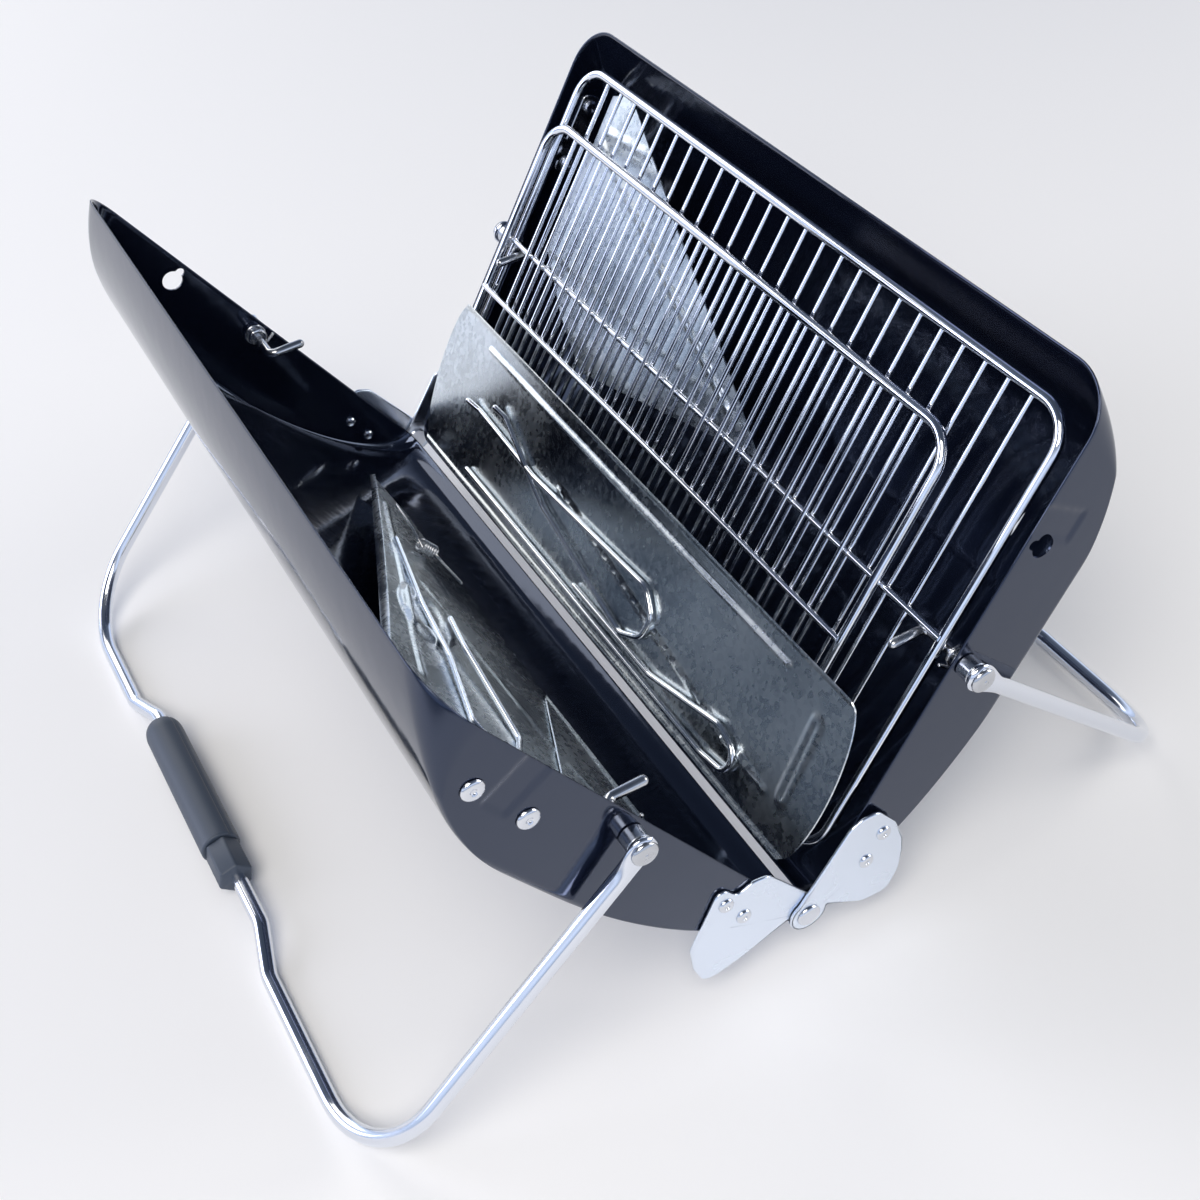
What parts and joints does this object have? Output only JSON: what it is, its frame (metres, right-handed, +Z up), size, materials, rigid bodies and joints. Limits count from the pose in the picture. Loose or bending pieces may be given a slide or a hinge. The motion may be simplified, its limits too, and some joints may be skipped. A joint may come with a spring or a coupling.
{
  "type": "folding camp grill",
  "caption": "Briefcase camp grill: two black enamelled half shells hinged on one edge, half open on chrome wire legs, holding wire grids, galvanised trays and wire tools.",
  "frame": {"origin": "on the ground under the hinge line, at the centre of the box", "axes": "+Y along the hinge, away from the end that faces the viewer; +X towards the right half; +Z up"},
  "size_m": [0.4486, 0.4472, 0.259],
  "materials": {
    "black_enamel": "black vitreous enamel, gloss",
    "chrome_grid": "bright chrome plated wire",
    "chrome_rod": "bright chrome plated rod",
    "chrome_tool": "chrome plated wire, lightly rubbed",
    "galvanised_sheet": "hot dip galvanised, fine spangle",
    "zinc_plate": "bright zinc plated pressing",
    "zinc_fastener": "bright zinc plated",
    "nickel_rivet": "nickel plated",
    "steel_pin": "drawn steel",
    "grip_plastic": "moulded phenolic, satin"
  },
  "bodies": {
    "right_half": {"far_hinge_pin": "nickel_rivet", "near_hinge_pin": "nickel_rivet", "right_far_hinge_plate": "zinc_plate", "right_far_hinge_rivet_1": "nickel_rivet", "right_far_hinge_rivet_2": "nickel_rivet", "right_far_leg_clip": "steel_pin", "right_far_leg_pin": "steel_pin", "right_far_leg_spacer": "zinc_fastener", "right_far_leg_washer": "zinc_fastener", "right_latch": "zinc_plate", "right_latch_rivet_1": "nickel_rivet", "right_latch_rivet_2": "nickel_rivet", "right_near_hinge_plate": "zinc_plate", "right_near_hinge_rivet_1": "nickel_rivet", "right_near_hinge_rivet_2": "nickel_rivet", "right_near_leg_clip": "steel_pin", "right_near_leg_pin": "steel_pin", "right_near_leg_spacer": "zinc_fastener", "right_near_leg_washer": "zinc_fastener", "right_shell": "black_enamel"},
    "left_half": {"left_far_hinge_plate": "zinc_plate", "left_far_hinge_rivet_1": "nickel_rivet", "left_far_hinge_rivet_2": "nickel_rivet", "left_far_leg_clip": "steel_pin", "left_far_leg_pin": "steel_pin", "left_far_leg_spacer": "zinc_fastener", "left_far_leg_washer": "zinc_fastener", "left_latch": "zinc_plate", "left_latch_rivet_1": "nickel_rivet", "left_latch_rivet_2": "nickel_rivet", "left_near_hinge_plate": "zinc_plate", "left_near_hinge_rivet_1": "nickel_rivet", "left_near_hinge_rivet_2": "nickel_rivet", "left_near_leg_clip": "steel_pin", "left_near_leg_pin": "steel_pin", "left_near_leg_spacer": "zinc_fastener", "left_near_leg_washer": "zinc_fastener", "left_shell": "black_enamel"},
    "right_leg": {"right_leg": "chrome_rod"},
    "left_leg": {"left_leg": "chrome_rod", "grip_cover": "grip_plastic", "grip_insert": "grip_plastic", "grip_screw_1": "zinc_fastener", "grip_screw_2": "zinc_fastener"},
    "rear_sheet": {"rear_sheet": "galvanised_sheet"},
    "rear_grid": {"rear_grid": "chrome_grid"},
    "front_grid": {"front_grid": "chrome_grid"},
    "leaning_tray": {"leaning_tray": "galvanised_sheet"},
    "wire_fork": {"wire_fork": "chrome_tool"},
    "wire_lifter": {"wire_lifter": "chrome_tool"},
    "left_tray": {"left_tray": "galvanised_sheet"},
    "left_cover_sheet": {"left_cover_sheet": "galvanised_sheet"},
    "wire_hook": {"wire_hook": "chrome_tool"}
  },
  "joints": [
    {"name": "case_fold", "type": "hinge", "parent": "right_half", "child": "left_half", "pos_m": [0, 0, 0.03212], "axis": [0, -1, 0], "range_deg": [-65.6, 114.4]},
    {"name": "right_leg_swing", "type": "hinge", "parent": "right_half", "child": "right_leg", "pos_m": [0.08148, 0, 0.14378], "axis": [0, 1, 0], "range_deg": [-102.4, 0]},
    {"name": "left_leg_swing", "type": "hinge", "parent": "left_half", "child": "left_leg", "pos_m": [-0.08148, 0, 0.14378], "axis": [0, -1, 0], "range_deg": [-102.4, 0]},
    {"name": "rear_sheet_lift", "type": "slide", "parent": "right_half", "child": "rear_sheet", "axis": [-0.4226, 0, 0.9063], "range_m": [0, 0.3]},
    {"name": "rear_grid_lift", "type": "slide", "parent": "rear_sheet", "child": "rear_grid", "axis": [-0.4226, 0, 0.9063], "range_m": [0, 0.3]},
    {"name": "front_grid_lift", "type": "slide", "parent": "rear_grid", "child": "front_grid", "axis": [-0.4226, 0, 0.9063], "range_m": [0, 0.3]},
    {"name": "leaning_tray_lift", "type": "slide", "parent": "front_grid", "child": "leaning_tray", "axis": [-0.4226, 0, 0.9063], "range_m": [0, 0.25]},
    {"name": "wire_fork_lift", "type": "slide", "parent": "leaning_tray", "child": "wire_fork", "axis": [-0.4226, 0, 0.9063], "range_m": [0, 0.15]},
    {"name": "wire_lifter_lift", "type": "slide", "parent": "leaning_tray", "child": "wire_lifter", "axis": [-0.4226, 0, 0.9063], "range_m": [0, 0.15]},
    {"name": "left_tray_lift", "type": "slide", "parent": "left_half", "child": "left_tray", "axis": [0.4226, 0, 0.9063], "range_m": [0, 0.25]},
    {"name": "left_cover_sheet_lift", "type": "slide", "parent": "left_tray", "child": "left_cover_sheet", "axis": [0.4226, 0, 0.9063], "range_m": [0, 0.15]},
    {"name": "wire_hook_lift", "type": "slide", "parent": "left_tray", "child": "wire_hook", "axis": [0.4226, 0, 0.9063], "range_m": [0, 0.15]}
  ]
}
